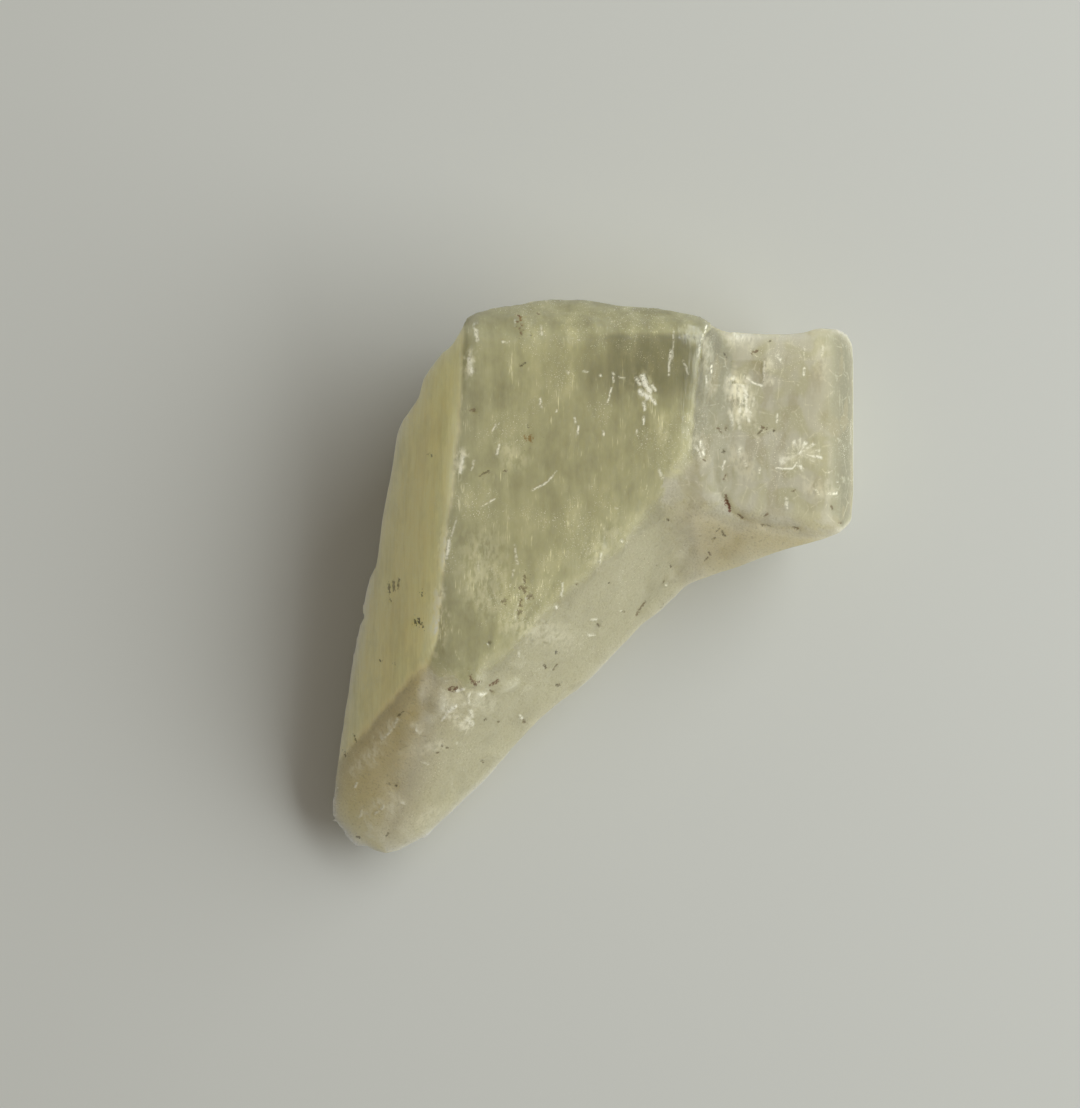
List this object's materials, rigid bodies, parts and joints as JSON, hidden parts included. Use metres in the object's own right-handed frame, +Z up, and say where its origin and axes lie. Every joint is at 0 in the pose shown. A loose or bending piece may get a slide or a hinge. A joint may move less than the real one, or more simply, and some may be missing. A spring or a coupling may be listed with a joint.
{
  "type": "hiddenite crystal",
  "caption": "Loose yellow-green hiddenite (spodumene) crystal: a striated, see-through prism with a frosted etched slope, a tapering foot and a cleaved block.",
  "frame": {"origin": "middle of the outline seen from above, on the plane the crystal rests on", "axes": "+Z up, away from the resting face; +Y the long way of the prism, close to its c axis, towards its broken head; +X towards the small cleaved block"},
  "size_m": [0.0224, 0.0238, 0.0086],
  "materials": {
    "hiddenite": "satin"
  },
  "bodies": {
    "root": {"crystal": "hiddenite"}
  },
  "joints": []
}
